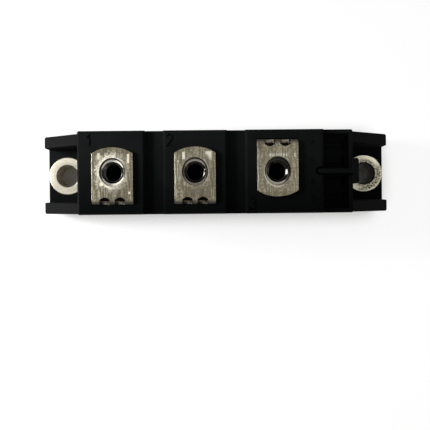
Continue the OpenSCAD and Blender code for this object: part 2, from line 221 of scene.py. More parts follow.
base_plating, tree, shader = new_material("base_plating")
rolled = use_group(tree, brush_lines, Place=in_mm(tree), Stretch=rolling_stretch)
set_sockets(
    tree, shader, Metallic=1.0,
    Base_Color=blend(tree, rolled["Clouds"], nickel_dull, nickel_pale),
    Roughness=varied(tree, rolled["Lines"], rolled_rough),
    Normal=bumped(tree, rolled["Lines"], line_depth, line_strength),
)
base_plate = eased_copy("base_plate", "base_plate_rolled", base_edge_r)
finish_piece(base_plate, base_plating, "base_plate")

# Substrates
# Two white ceramic tiles with copper bonded to both faces, soldered side by side onto the base plate.
# The copper is rolled foil, etched back from the tile's rim, and the housing hides it all.
copper_bright = (0.80, 0.43, 0.27, 1)
copper_brown = (0.52, 0.25, 0.15, 1)
copper_rough = (0.25, 0.45)
foil_stretch = (0.3, 6.0, 6.0)
alumina_white = (0.86, 0.85, 0.82, 1)
alumina_grey = (0.76, 0.75, 0.72, 1)
alumina_rough = (0.45, 0.65)
alumina_shine = 0.4
alumina_scale = 6.0


def dress(material, *nodes):
    """Gives CAD nodes a material and leaves their meshes as they are."""
    for node in nodes:
        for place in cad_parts[node].material_slots:
            place.material = material


def cloudy_finish(name, scale, low, high, rough, **constants):
    """A material whose colour and roughness follow one cloudy pattern, with constants for other sockets."""
    material, tree, shader = new_material(name)
    clouds = noise(tree, in_mm(tree), scale)
    set_sockets(
        tree, shader, **constants,
        Base_Color=blend(tree, clouds, low, high),
        Roughness=varied(tree, clouds, rough),
    )
    return material


copper, tree, shader = new_material("copper")
rolled = use_group(tree, brush_lines, Place=in_mm(tree), Stretch=foil_stretch)
set_sockets(
    tree, shader, Metallic=1.0,
    Base_Color=blend(tree, rolled["Clouds"], copper_brown, copper_bright),
    Roughness=varied(tree, rolled["Lines"], copper_rough),
)
dress(copper, "lower_foil_left", "lower_foil_right", "circuit_foil_left", "circuit_foil_right")

tile_ceramic = cloudy_finish(
    "tile_ceramic", alumina_scale, alumina_grey, alumina_white, alumina_rough,
    Specular_IOR_Level=alumina_shine,
)
dress(tile_ceramic, "ceramic_tile_left", "ceramic_tile_right")

# Diodes
# Two square silicon chips, each soldered between a wide and a narrow molybdenum disc.
# The discs are lapped flat and stretch with heat as silicon does, so the chip doesn't crack.
moly_pale = (0.46, 0.46, 0.48, 1)
moly_dark = (0.34, 0.34, 0.36, 1)
moly_rough = (0.4, 0.55)
lapping_scale = 4.0
silicon_blue = (0.07, 0.08, 0.12, 1)
silicon_grey = (0.13, 0.13, 0.15, 1)
silicon_rough = (0.1, 0.25)
silicon_shine = 0.8
film_scale = 0.4

molybdenum = cloudy_finish("molybdenum", lapping_scale, moly_dark, moly_pale, moly_rough, Metallic=1.0)
dress(molybdenum, "lower_disc_left", "lower_disc_right", "upper_disc_left", "upper_disc_right")

silicon = cloudy_finish(
    "silicon", film_scale, silicon_blue, silicon_grey, silicon_rough,
    Specular_IOR_Level=silicon_shine,
)
dress(silicon, "diode_chip_left", "diode_chip_right")

# Midpoint link
# A stepped copper strip from the left diode's top to the right tile, which makes the middle connection.
# It is folded from the same rolled copper as the foils and soldered at both ends.
dress(copper, "midpoint_link")

# Filling
# Silicone adhesive seals the housing's foot to the base plate, and clear soft gel covers the diodes.
# Black epoxy resin is then poured over the gel and sets round the legs of the terminals.
adhesive_pale = (0.22, 0.21, 0.19, 1)
adhesive_dark = (0.17, 0.16, 0.14, 1)
adhesive_rough = (0.5, 0.7)
adhesive_shine = 0.3
smear_scale = 0.9
gel_clear = (0.90, 0.93, 0.94, 1)
gel_cloudy = (0.78, 0.82, 0.83, 1)
gel_rough = (0.05, 0.15)
gel_clearness = 0.9
gel_ior = 1.41
haze_scale = 0.3
resin_black = (0.030, 0.026, 0.022, 1)
resin_brown = (0.050, 0.042, 0.034, 1)
resin_rough = (0.35, 0.5)
resin_shine = 0.4
filler_scale = 2.5

adhesive = cloudy_finish(
    "adhesive", smear_scale, adhesive_dark, adhesive_pale, adhesive_rough,
    Specular_IOR_Level=adhesive_shine,
)
dress(adhesive, "adhesive_seal")

gel = cloudy_finish(
    "gel", haze_scale, gel_cloudy, gel_clear, gel_rough,
    Transmission_Weight=gel_clearness, IOR=gel_ior,
)
dress(gel, "silicone_gel")

resin = cloudy_finish(
    "resin", filler_scale, resin_black, resin_brown, resin_rough,
    Specular_IOR_Level=resin_shine,
)
dress(resin, "epoxy_fill")

# Housing
# One moulding of black glass-filled plastic, glued over the base plate, with fins beside the mounting holes.
# Its spark-eroded tool left a fine matt grain and sunk numbers.
# Its black is lighter towards the back, on walls facing front and back, and on the fins' slopes.
housing_edge_r = 0.10 * mm
roof_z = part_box("housing")[1].z
under_half_w = 5.6 * mm
under_half_l = 8.7 * mm
fin_corner = Vector((33.63, 9.82, 23.2)) * mm
roof_corner = Vector((33.4, 9.95, 28.7)) * mm
bar_corner = Vector((33.55, 3.1, 27.3)) * mm
crowded_corners = [fin_corner, roof_corner, bar_corner]
crowded_r = 0.45 * mm
terminal_x = [sum(corner.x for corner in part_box(f"terminal_{count}")) / 2 for count in (1, 2, 3)]
number_h = 2.8 * mm
number_offset = [(-5.55 * mm, 7.8 * mm), (-6.0 * mm, 7.8 * mm), (-6.0 * mm, -7.8 * mm)]
number_stroke = 0.38 * mm
number_depth = 0.35 * mm
numeral_middle = (0.32, 0.5)
arc_step = 15
first_pin_number = 4
pin_number_x = 23.6 * mm
pin_number_y = [6.8 * mm, 2.4 * mm, -2.5 * mm, -6.9 * mm]
pin_number_h = 1.35 * mm
pin_number_stroke = 0.20 * mm
pin_number_depth = 0.15 * mm
black_deep = (0.0030, 0.0033, 0.0035, 1)
# A lighter black, towards the back and on walls facing front and back
black_lighter = (0.0122, 0.0129, 0.0133, 1)
# A lighter black for the fins' slopes
black_slope = (0.0125, 0.0127, 0.0128, 1)
moulded_shine = 0.010
roof_rough = (0.34, 0.40)
wall_rough = 0.80
grain_scale = 6.0
grain_detail = 2.0
grain_depth = 0.02 * mm
grain_strength = 0.5
touch_scale = 0.16
touch_detail = 5.0
touch_middle = (0.35, 0.65)
touch_least = 0.75
# Limits of the masks, as a normal's share along an axis or in millimetres from the module's middle
wall_up = (0.25, 0.60)
slope_up = (0.45, 0.65)
roof_up = (0.80, 0.95)
side_across = (0.5, 0.8)
fin_start = (32.0, 33.0)
front_to_back = (-13.0, 9.0)


def number_from(tree, operation, *given):
    """The number that an operation makes of numbers."""
    return add(tree, "Math", dict(enumerate(given)), operation=operation).outputs[0]


def times(tree, first, *others):
    """The product of values."""
    for other in others:
        first = number_from(tree, "MULTIPLY", first, other)
    return first


def largest(tree, first, *others):
    """The largest of values."""
    for other in others:
        first = number_from(tree, "MAXIMUM", first, other)
    return first


def size_of(tree, value):
    """A value without its sign."""
    return number_from(tree, "ABSOLUTE", value)


housing_plastic, tree, shader = new_material("housing_plastic")
place = in_mm(tree)
along = add(tree, "SeparateXYZ", {0: place}).outputs
facing = add(tree, "SeparateXYZ", {0: add(tree, "NewGeometry").outputs["Normal"]}).outputs
grain = noise(tree, place, grain_scale, grain_detail)
touch = noise(tree, place, touch_scale, touch_detail)
upright = ranged(tree, size_of(tree, facing["Z"]), *wall_up, wall_rough, 0.0)
# Lighter black on the fins' slopes, towards the back, and on walls facing front and back
sloping = times(
    tree, ranged(tree, facing["Z"], *slope_up), ranged(tree, facing["Z"], *roof_up, 1.0, 0.0),
    ranged(tree, size_of(tree, along["X"]), *fin_start),
)
beside = ranged(tree, size_of(tree, facing["Y"]), *side_across)
lighter_to_back = ranged(tree, along["Y"], *front_to_back)
uneven = ranged(tree, touch, *touch_middle, touch_least, 1.0)
greyed = times(tree, largest(tree, lighter_to_back, beside), uneven)
housing_black = blend(tree, greyed, black_deep, black_lighter)
set_sockets(
    tree, shader, Specular_IOR_Level=moulded_shine,
    Base_Color=blend(tree, sloping, housing_black, black_slope),
    Roughness=largest(tree, varied(tree, touch, roof_rough), upright),
    Normal=bumped(tree, grain, grain_depth, grain_strength),
)


def arc(middle, reach, start, end):
    """Points on an arc about a middle, with a reach across and up, between two angles in degrees."""
    steps = math.ceil(abs(end - start) / arc_step)
    angles = [math.radians(start + (end - start) * step / steps) for step in range(steps + 1)]
    return [
        (middle[0] + reach[0] * math.cos(angle), middle[1] + reach[1] * math.sin(angle)) for angle in angles
    ]


# Each numeral's pen strokes in a cell one high, measured from its lower left corner
numeral_strokes = {
    1: [[(0.10, 0.74), (0.36, 1.0), (0.36, 0.0)]],
    2: [arc((0.32, 0.71), (0.24, 0.29), 165, -40) + [(0.08, 0.0), (0.60, 0.0)]],
    3: [arc((0.30, 0.75), (0.25, 0.25), 150, -90), arc((0.30, 0.26), (0.29, 0.26), 90, -155)],
    4: [[(0.46, 0.0), (0.46, 1.0)], [(0.46, 1.0), (0.02, 0.30), (0.64, 0.30)]],
    5: [[(0.54, 1.0), (0.12, 1.0), (0.06, 0.54)] + arc((0.28, 0.32), (0.29, 0.32), 125, -145)],
    6: [arc((0.56, 0.32), (0.54, 0.68), 95, 180) + arc((0.31, 0.30), (0.29, 0.30), 195, 450),
        arc((0.31, 0.30), (0.29, 0.30), 90, 165)],
    7: [[(0.02, 1.0), (0.60, 1.0), (0.22, 0.0)]],
}


def stroke_cutter(stroke, x, y, height, width, depth):
    """A wall as wide as a stroke that follows it across the roof, and reaches as far above as below."""
    left = x - numeral_middle[0] * height
    low = y - numeral_middle[1] * height
    line = bpy.data.curves.new("stroke", "CURVE")
    line.dimensions = "3D"
    line.extrude = depth
    path = line.splines.new("POLY")
    path.points.add(len(stroke) - 1)
    for point, (across, up) in zip(path.points, stroke):
        point.co = (left + across * height, low + up * height, roof_z, 1)
    wall = bpy.data.objects.new("stroke", line)
    bpy.context.scene.collection.objects.link(wall)
    take(wall)
    bpy.ops.object.convert(target="MESH")
    apply_modifier(wall, "SOLIDIFY", thickness=width, offset=0.0, use_even_offset=True)
    return wall


def cut(piece, cutter, operation="DIFFERENCE"):
    """Cuts a piece with a cutter, which is then thrown away."""
    apply_modifier(piece, "BOOLEAN", object=cutter, operation=operation, solver="EXACT")
    bpy.data.objects.remove(cutter)


def sink_numeral(digit, *place_and_size):
    """Sinks a numeral into the housing's roof, stroke by stroke."""
    for stroke in numeral_strokes[digit]:
        cut(housing, stroke_cutter(stroke, *place_and_size))


def housing_stays_sharp(*ends):
    """True for edges under the terminals and at corners too crowded to be rounded."""
    def hidden(end):
        return abs(end.y) < under_half_l and any(abs(end.x - x) < under_half_w for x in terminal_x)

    def crowded(end):
        on_one_quarter = Vector((abs(end.x), abs(end.y), end.z))
        return any((on_one_quarter - corner).length < crowded_r for corner in crowded_corners)

    return all(hidden(end) for end in ends) or any(crowded(end) for end in ends)


housing = eased_copy("housing", "housing_moulded", housing_edge_r, housing_stays_sharp)
for digit, (x, (left, up)) in enumerate(zip(terminal_x, number_offset), start=1):
    sink_numeral(digit, x + left, up, number_h, number_stroke, number_depth)
for digit, y in enumerate(pin_number_y, start=first_pin_number):
    sink_numeral(digit, pin_number_x, y, pin_number_h, pin_number_stroke, pin_number_depth)
finish_piece(housing, housing_plastic, "housing")

# Mounting bushes
# A turned steel ring, zinc-plated, is pressed into the housing at each end and stands on the base plate.
# It takes the mounting screw's force. Its flat top shows the tool's fine rings, and old grease on the seat.
# The right bush's plating is painted paler as painted light; the left bore is painted lit, the right one
# shaded.
bush_edge_r = 0.10 * mm
bush_x = 40 * mm
zinc_pale = (0.72, 0.68, 0.56, 1)
zinc_dull = (0.60, 0.56, 0.46, 1)
# A paler plating for the right bush: painted light that stands in for light it lacks
zinc_lit_pale = (0.97, 0.92, 0.70, 1)
zinc_lit_dull = (0.84, 0.79, 0.60, 1)
smudge_brown = (0.055, 0.042, 0.025, 1)
# Bore tones: a painted lit grey for the left bush, a painted shaded dark for the right
bore_lit_grey = (0.68, 0.62, 0.52, 1)
bore_shaded_dark = (0.065, 0.062, 0.05, 1)
speck_scale = 2.2
speck_detail = 6.0
ring_detail = 3.0
grease_middle = (0.40, 0.60)
grease_least = 0.48
seat_grease = 0.90
wiped_share = 0.60
# Sizes of the relief, and limits of the masks from the bush's axis, in millimetres
ring_pitch = 0.12
ring_depth = 0.008
bore_edge = (2.81, 2.87)
seat_reach = (3.4, 4.5)
smudge_reach = (0.0, 2.6)
wiped_from = (4.35, 4.65)
rim_slope = (4.0, 5.1)


def from_axis(tree, place):
    """How far a place lies from the upright axis that it is measured from."""
    level = vector_from(tree, "MULTIPLY", place, (1, 1, 0))
    return add(tree, "VectorMath", {0: level}, operation="LENGTH").outputs["Value"]


def towards(tree, place, direction):
    """How far a place lies in a direction from where it is measured."""
    return add(tree, "VectorMath", {0: place, 1: direction}, operation="DOT_PRODUCT").outputs["Value"]


# Fine rings left by a turning tool, measured from the turned piece's axis
turned_rings, given, result = new_group(
    "turned_rings", {"Place": (0, 0, 0), "Pitch": ring_pitch}, ("Rings",)
)
turns = number_from(turned_rings, "DIVIDE", from_axis(turned_rings, given["Place"]), given["Pitch"])
ring_noise = add(turned_rings, "TexNoise", {"W": turns, "Detail": ring_detail}, noise_dimensions="1D")
turned_rings.links.new(ring_noise.outputs["Fac"], result["Rings"])


def bush_finish(name, x, pale, dull, bore, rough, rim_fall, smudge_way, smudged):
    """Turned zinc-plated steel, its bore a given tone of painted light and shade, old grease on the screw's
    seat.
    """
    material, tree, shader = new_material(name)
    place = in_mm(tree, x)
    radius = from_axis(tree, place)
    rings = use_group(tree, turned_rings, Place=place)["Rings"]
    specks = ranged(tree, noise(tree, place, speck_scale, speck_detail), *grease_middle, grease_least, 1.0)
    greasy = ranged(tree, towards(tree, place, smudge_way), *smudge_reach)
    by_bore = ranged(tree, radius, *seat_reach, seat_grease, 0.0)
    wiped_rim = ranged(tree, radius, *wiped_from, 1.0, wiped_share)
    stain = times(tree, specks, largest(tree, greasy, by_bore), wiped_rim, smudged)
    seat = blend(tree, stain, blend(tree, rings, dull, pale), smudge_brown)
    # The bore's given tone: painted light on the left bush, painted shade on the right
    in_bore = ranged(tree, radius, *bore_edge, 1.0, 0.0)
    fallen = ranged(tree, radius, *rim_slope, rim_fall, 0.0)
    relief = number_from(tree, "MULTIPLY_ADD", rings, ring_depth, fallen)
    set_sockets(
        tree, shader, Metallic=1.0,
        Base_Color=blend(tree, in_bore, seat, bore),
        Roughness=varied(tree, rings, rough),
        Normal=bumped(tree, relief, mm),
    )
    return material


# The left bore's grey is painted light; the right bush's pale plating is painted light and its dark bore
# painted shade
bush_looks = {
    "left": {
        "x": -bush_x, "pale": zinc_pale, "dull": zinc_dull, "bore": bore_lit_grey, "rough": (0.42, 0.52),
        "rim_fall": 0.0, "smudge_way": (0.2, -0.98, 0), "smudged": 0.32,
    },
    "right": {
        "x": bush_x, "pale": zinc_lit_pale, "dull": zinc_lit_dull, "bore": bore_shaded_dark, "rough": (0.08, 0.18),
        "rim_fall": 0.07, "smudge_way": (0.76, -0.65, 0), "smudged": 1.0,
    },
}
for end, look in bush_looks.items():
    bush = eased_copy(f"mounting_bush_{end}", f"bush_turned_{end}", bush_edge_r)
    finish_piece(bush, bush_finish(f"bush_steel_{end}", **look), f"mounting_bush_{end}")

# Terminal nuts
# Three hexagon nuts of zinc-plated steel, dropped into pockets under the terminals before these are folded.
# Corners and bore are chamfered, and the M5 thread of 0.8 mm pitch is painted dark for its oil and its
# shade.
# The face carries a painted reflection, painted glints and painted shade; the thread's left wall is painted
# lighter.
nut_low, nut_high = (corner.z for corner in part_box("terminal_nuts"))
nut_front, nut_back = (corner.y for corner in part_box("terminal_nuts"))
nut_h = nut_high - nut_low
nut_af = nut_back - nut_front
nut_corner_r = nut_af / 2 / math.cos(math.pi / 6)
nut_bore_r = 2.1 * mm
nut_sink_r = 2.66 * mm
nut_sink_h = nut_sink_r - nut_bore_r
nut_face_share = 0.475
nut_face_r = nut_face_share * nut_af
nut_chamfer_angle = math.radians(30)
nut_chamfer_h = (nut_corner_r - nut_face_r) * math.tan(nut_chamfer_angle)
round_sides = 64
thread_pitch = 0.8 * mm
thread_root_r = 2.52 * mm
thread_side = 0.76 * mm
thread_steps = 32
turns_past = 1.5
zinc_warm = (0.26, 0.24, 0.19, 1)
zinc_grey = (0.13, 0.12, 0.10, 1)
# A painted highlight, for the faces' painted reflections and glints
zinc_painted_highlight = (1.0, 0.96, 0.86, 1)
# The thread, painted dark for oil and shade, its left wall painted lighter as painted light
thread_dark = (0.045, 0.041, 0.036, 1)
thread_lit_grey = (0.17, 0.165, 0.16, 1)
# Painted shade, on the nuts' faces and in the terminals' bends
painted_shade_black = (0.025, 0.023, 0.020, 1)
nut_rough = (0.22, 0.65)
mottle_scale = 1.2
slot_squeeze = (1.0, 0.89, 1.0)
leftwards = (-1, 0, 0)
rightwards = (1, 0, 0)
# Soft widths of the masks, and their limits from the nut's axis, in millimetres
patch_soft = 0.6
# Softness and limits of the painted reflection, shade and shadow
reflection_soft = 0.7
low_reflection = (-1.6, -0.9)
nut_shade_reach = (-1.2, 0.4)
under_strip = (2.80, 2.92)
thread_lit = (1.0, 2.2)
thread_mouth = (2.62, 2.68)
right_reach = (-1.0, 0.6)
dish_slope = (2.4, 3.3)


def turned_solid(steps):
    """A solid of revolution about the origin, drawn out ring by ring through (radius, height) steps."""
    first_r, first_z = steps[0]
    bpy.ops.object.select_all(action="DESELECT")
    bpy.ops.mesh.primitive_circle_add(
        vertices=round_sides, radius=first_r, fill_type="NGON", location=(0, 0, first_z),
    )
    bpy.ops.object.transform_apply(location=True, rotation=False, scale=False)
    bpy.ops.object.mode_set(mode="EDIT")
    bpy.ops.mesh.select_all(action="SELECT")
    for (from_r, from_z), (to_r, to_z) in zip(steps, steps[1:]):
        bpy.ops.mesh.extrude_region_move(TRANSFORM_OT_translate={"value": (0, 0, to_z - from_z)})
        share = to_r / from_r
        bpy.ops.transform.resize(value=(share, share, 1), center_override=(0, 0, to_z))
    bpy.ops.mesh.select_all(action="SELECT")
    bpy.ops.mesh.normals_make_consistent(inside=False)
    bpy.ops.object.mode_set(mode="OBJECT")
    return bpy.context.object


def thread_cutter():
    """A three-sided coil, with a thread's sixty-degree section, that runs past both faces of the nut."""
    section_r = thread_side / math.sqrt(3)
    bpy.ops.object.select_all(action="DESELECT")
    bpy.ops.mesh.primitive_circle_add(
        vertices=3, radius=section_r, fill_type="NOTHING",
        location=(thread_root_r - section_r, 0, nut_low - turns_past * thread_pitch),
        rotation=(math.pi / 2, math.pi / 2, 0),
    )
    coil = bpy.context.object
    bpy.ops.object.transform_apply(location=True, rotation=True, scale=True)
    turns = math.ceil(nut_h / thread_pitch + 2 * turns_past)
    apply_modifier(
        coil, "SCREW", axis="Z", angle=2 * math.pi, screw_offset=thread_pitch, iterations=turns,
        steps=thread_steps, render_steps=thread_steps, use_merge_vertices=True, use_smooth_shade=False,
    )
    bpy.ops.object.mode_set(mode="EDIT")
    bpy.ops.mesh.select_all(action="SELECT")
    bpy.ops.mesh.fill_holes(sides=3)
    bpy.ops.mesh.normals_make_consistent(inside=False)
    bpy.ops.object.mode_set(mode="OBJECT")
    return coil


bpy.ops.object.select_all(action="DESELECT")
bpy.ops.mesh.primitive_cylinder_add(
    vertices=6, radius=nut_corner_r, depth=nut_h, location=(0, 0, (nut_low + nut_high) / 2),
    rotation=(0, 0, math.pi / 2),
)
nut_pattern = bpy.context.object
bpy.ops.object.transform_apply(location=True, rotation=True, scale=True)
cut(nut_pattern, turned_solid([
    (nut_face_r, nut_low), (nut_corner_r, nut_low + nut_chamfer_h),
    (nut_corner_r, nut_high - nut_chamfer_h), (nut_face_r, nut_high),
]), "INTERSECT")
cut(nut_pattern, turned_solid([
    (nut_sink_r + nut_sink_h, nut_low - nut_sink_h), (nut_bore_r, nut_low + nut_sink_h),
    (nut_bore_r, nut_high - nut_sink_h), (nut_sink_r + nut_sink_h, nut_high + nut_sink_h),
]))
cut(nut_pattern, thread_cutter())

# A soft-sided patch between two corners, for wear, stains and painted highlights
soft_patch, given, result = new_group(
    "soft_patch", {"Place": (0, 0, 0), "Low": (0, 0, 0), "High": (1, 1, 0), "Soft": patch_soft}, ("Mask",)
)
both = vector_from(soft_patch, "ADD", given["Low"], given["High"])
span = vector_from(soft_patch, "SUBTRACT", given["High"], given["Low"])
twice = vector_from(soft_patch, "MULTIPLY", given["Place"], (2, 2, 2))
apart = vector_from(soft_patch, "ABSOLUTE", vector_from(soft_patch, "SUBTRACT", twice, both))
inside = add(soft_patch, "SeparateXYZ", {0: vector_from(soft_patch, "SUBTRACT", span, apart)}).outputs
nearest = number_from(soft_patch, "MINIMUM", inside["X"], inside["Y"])
soft_patch.links.new(ranged(soft_patch, nearest, 0.0, given["Soft"]), result["Mask"])


def patch_mask(tree, place, low, high):
    """The mask of one soft patch, with its corners in millimetres from the screw's axis."""
    return use_group(tree, soft_patch, Place=place, Low=(*low, 0), High=(*high, 0))["Mask"]


def in_slot(tree, place):
    """A place by the screw, squeezed along the terminal's slot so that the slot's rim becomes a circle."""
    return vector_from(tree, "MULTIPLY", place, slot_squeeze)


def nut_finish(name, x, lit_way, lit_from, shine, low_shine, painted_shade, dish, glints):
    """Zinc-plated steel: painted reflection, shade and glints on the face, and a thread painted for oil and
    shade.
    """
    material, tree, shader = new_material(name)
    place = in_mm(tree, x)
    radius = from_axis(tree, place)
    lit = towards(tree, place, lit_way)
    # A painted reflection towards the lit way, and a weaker one the opposite way
    painted_reflection = largest(
        tree, times(tree, ranged(tree, lit, lit_from, lit_from + reflection_soft), shine),
        times(tree, ranged(tree, lit, *low_reflection, 1.0, 0.0), low_shine),
    )
    plated = blend(tree, noise(tree, place, mottle_scale), zinc_grey, zinc_warm)
    # Painted shade on the face, away from the lit way
    shaded_face = times(tree, ranged(tree, lit, *nut_shade_reach, 1.0, 0.0), painted_shade)
    face = blend(tree, shaded_face, blend(tree, painted_reflection, plated, zinc_painted_highlight), painted_shade_black)
    # A painted shadow on the face under the strip's rim
    strip_shadow = ranged(tree, from_axis(tree, in_slot(tree, place)), *under_strip)
    face = blend(tree, strip_shadow, face, painted_shade_black)
    # The thread's left wall painted lighter as painted light
    left_side = ranged(tree, towards(tree, place, leftwards), *thread_lit)
    thread = blend(tree, left_side, thread_dark, thread_lit_grey)
    tone = blend(tree, ranged(tree, radius, *thread_mouth, 1.0, 0.0), face, thread)
    bright = painted_reflection
    # Painted glints
    for low, high, amount in glints:
        glint = times(tree, patch_mask(tree, place, low, high), amount)
        tone = blend(tree, glint, tone, zinc_painted_highlight)
        bright = largest(tree, bright, glint)
    right_side = ranged(tree, towards(tree, place, rightwards), *right_reach)
    set_sockets(
        tree, shader, Metallic=1.0,
        Base_Color=tone,
        Roughness=ranged(tree, times(tree, bright, right_side), 0.0, 1.0, *nut_rough),
        Normal=bumped(tree, ranged(tree, radius, *dish_slope), dish * mm),
    )
    return material


# Each nut's painted reflection, painted shade and painted glints
nut_looks = [
    {
        "lit_way": (-0.05, 1.0, 0), "lit_from": 0.8, "shine": 1.0, "low_shine": 0.8, "painted_shade": 0.0,
        "dish": 0.10, "glints": [((2.2, 0.4), (2.75, 1.0), 0.4), ((2.4, -1.6), (3.3, 0.8), 0.3)],
    },
    {
        "lit_way": (0.0, 1.0, 0), "lit_from": 1.2, "shine": 0.45, "low_shine": 0.25, "painted_shade": 0.1,
        "dish": 0.01, "glints": [((2.1, 0.3), (2.7, 0.9), 0.7)],
    },
    {
        "lit_way": (-0.3, -1.0, 0), "lit_from": 1.3, "shine": 0.5, "low_shine": 0.0, "painted_shade": 0.8,
        "dish": 0.01, "glints": [((1.85, -0.8), (2.6, 0.6), 0.8)],
    },
]
for count, (x, look) in enumerate(zip(terminal_x, nut_looks), start=1):
    nut = bpy.data.objects.new(f"terminal_nut_{count}", nut_pattern.data.copy())
    bpy.context.scene.collection.objects.link(nut)
    nut.location.x = x
    take(nut)
    bpy.ops.object.transform_apply(location=True, rotation=False, scale=False)
    finish_piece(nut, nut_finish(f"nut_steel_{count}", x, **look), "terminal_nuts")
bpy.data.objects.remove(nut_pattern)

# Terminals
# Three copper strips, stamped, nickel-plated and brushed, that rise from the inside and fold over the nuts.
# Screwed lugs have rubbed the plating rough and bright round the slots and along some edges.
# Painted shade lies on the slots' rims and the bends, and painted light on the relief holes' walls.
strip_edge_r = 0.14 * mm
relief_from_y = 5.0 * mm
relief_from_z = 26 * mm
relief_half_w = 4.5 * mm
# Plating bright from wear, and on the second strip also painted reflections
nickel_bright = (1.0, 0.97, 0.82, 1)
nickel_stained = (0.22, 0.193, 0.138, 1)
# Painted shade over the bend
nickel_bend_shade = (0.11, 0.10, 0.085, 1)
# The holes' cut walls on their painted lit side
nickel_cut_lit = (0.64, 0.60, 0.51, 1)
# Painted shade on the slots' rims and on the holes' shaded sides
painted_shade_brown = (0.05, 0.046, 0.038, 1)
brushed_rough = (0.28, 0.40)
rubbed_rough = 0.66
brushing_stretch = (3.0, 0.25, 3.0)
brushed_middle = (0.40, 0.62)
speck_middle = (0.36, 0.64)
scratch_range = (0.0, 0.6)
scratch_least = 0.25
core_least = 0.72
patch_speck_least = 0.85
streak_least = 0.15
ring_right_share = 0.35
rim_front_share = 0.15
hole_far_share = 0.32
ring_scale = 0.7
ring_way = (-1.0, 0.3, 0)
backwards = (0, 1, 0)
# Soft widths of the masks, and their limits from the screw's axis, in millimetres
ring_ragged = 2.6
ring_core = (3.2, 4.1)
ring_fringe = (3.4, 5.0)
ring_fade = (-3.5, 1.0)
slot_rim = (3.14, 3.22)
rim_fade = (-2.4, -0.4)
edge_inner = (3.12, 3.20)
edge_outer = (3.28, 3.50)
edge_reach = (1.2, 2.6)
slant_before = 0.3
slant_after = 0.8
bend_start = (6.3, 7.5)
bend_shade = (7.65, 7.80)
hole_place = 1.85
hole_r = 1.35
hole_soft = 0.05
hole_lit_width = 1.1
hole_fade = (0.25, 0.70)
hole_shade = (0.85, 1.1)
hole_lit_back = (6.9, 7.4)

# A rubbed ring round a screw hole, with a ragged rim
rubbed_ring, given, result = new_group(
    "rubbed_ring", {"Place": (0, 0, 0), "Inner": 0.0, "Outer": 1.0, "Ragged": ring_ragged}, ("Mask",)
)
swing = number_from(rubbed_ring, "SUBTRACT", noise(rubbed_ring, given["Place"], ring_scale), noise_mean)
radius = from_axis(rubbed_ring, given["Place"])
wander = number_from(rubbed_ring, "MULTIPLY_ADD", swing, given["Ragged"], radius)
ragged = ranged(rubbed_ring, wander, given["Inner"], given["Outer"], 1.0, 0.0)
rubbed_ring.links.new(ragged, result["Mask"])


def at_least(tree, mask, least):
    """A mask raised so that its lowest value is the one given."""
    return ranged(tree, mask, 0.0, 1.0, least, 1.0)


def round_slot(tree, place, specks):
    """Where lugs have left wear round the slot: nearly all over close to it, in specks further out."""
    slot_place = in_slot(tree, place)
    core, fringe = (
        use_group(tree, rubbed_ring, Place=slot_place, Inner=inner, Outer=outer)["Mask"]
        for inner, outer in (ring_core, ring_fringe)
    )
    fading = ranged(tree, towards(tree, place, ring_way), *ring_fade, ring_right_share, 1.0)
    speckled = times(tree, core, at_least(tree, specks, core_least))
    return times(tree, largest(tree, speckled, times(tree, fringe, specks)), fading)


def patches(tree, place, listed):
    """The largest of the patches in a list of corners and amounts, some of them cut off on a slant."""
    mask = 0.0
    for low, high, amount, *slant in listed:
        patch = patch_mask(tree, place, low, high)
        for way, start in slant:
            beyond = ranged(tree, towards(tree, place, way), start - slant_before, start + slant_after)
            patch = times(tree, patch, beyond)
        mask = largest(tree, mask, times(tree, patch, amount))
    return mask


def bend_tone(tree, place, from_middle, hole_from):
    """The colour of the bend: painted shade, and two relief holes, their cut walls painted lit on one side.
    """
    across = towards(tree, place, rightwards)
    from_hole = number_from(tree, "SUBTRACT", size_of(tree, across), hole_place)
    in_hole = ranged(tree, size_of(tree, from_hole), hole_r - hole_soft, hole_r + hole_soft, 1.0, 0.0)
    along_hole = times(tree, from_hole, number_from(tree, "SIGN", across))
    # Cut walls painted lit on one side, fading towards the far end
    hole_light = times(
        tree, ranged(tree, along_hole, hole_from, hole_from + hole_lit_width),
        ranged(tree, along_hole, *hole_fade, 1.0, hole_far_share), ranged(tree, from_middle, *hole_lit_back),
    )
    tone = blend(tree, in_hole, nickel_bend_shade, blend(tree, hole_light, painted_shade_brown, nickel_cut_lit))
    # Painted shade at the holes' far ends and on the fold's outer edge
    hole_end = times(tree, in_hole, ranged(tree, along_hole, *hole_shade))
    shaded = largest(tree, ranged(tree, from_middle, *bend_shade), hole_end)
    return blend(tree, shaded, tone, painted_shade_black)


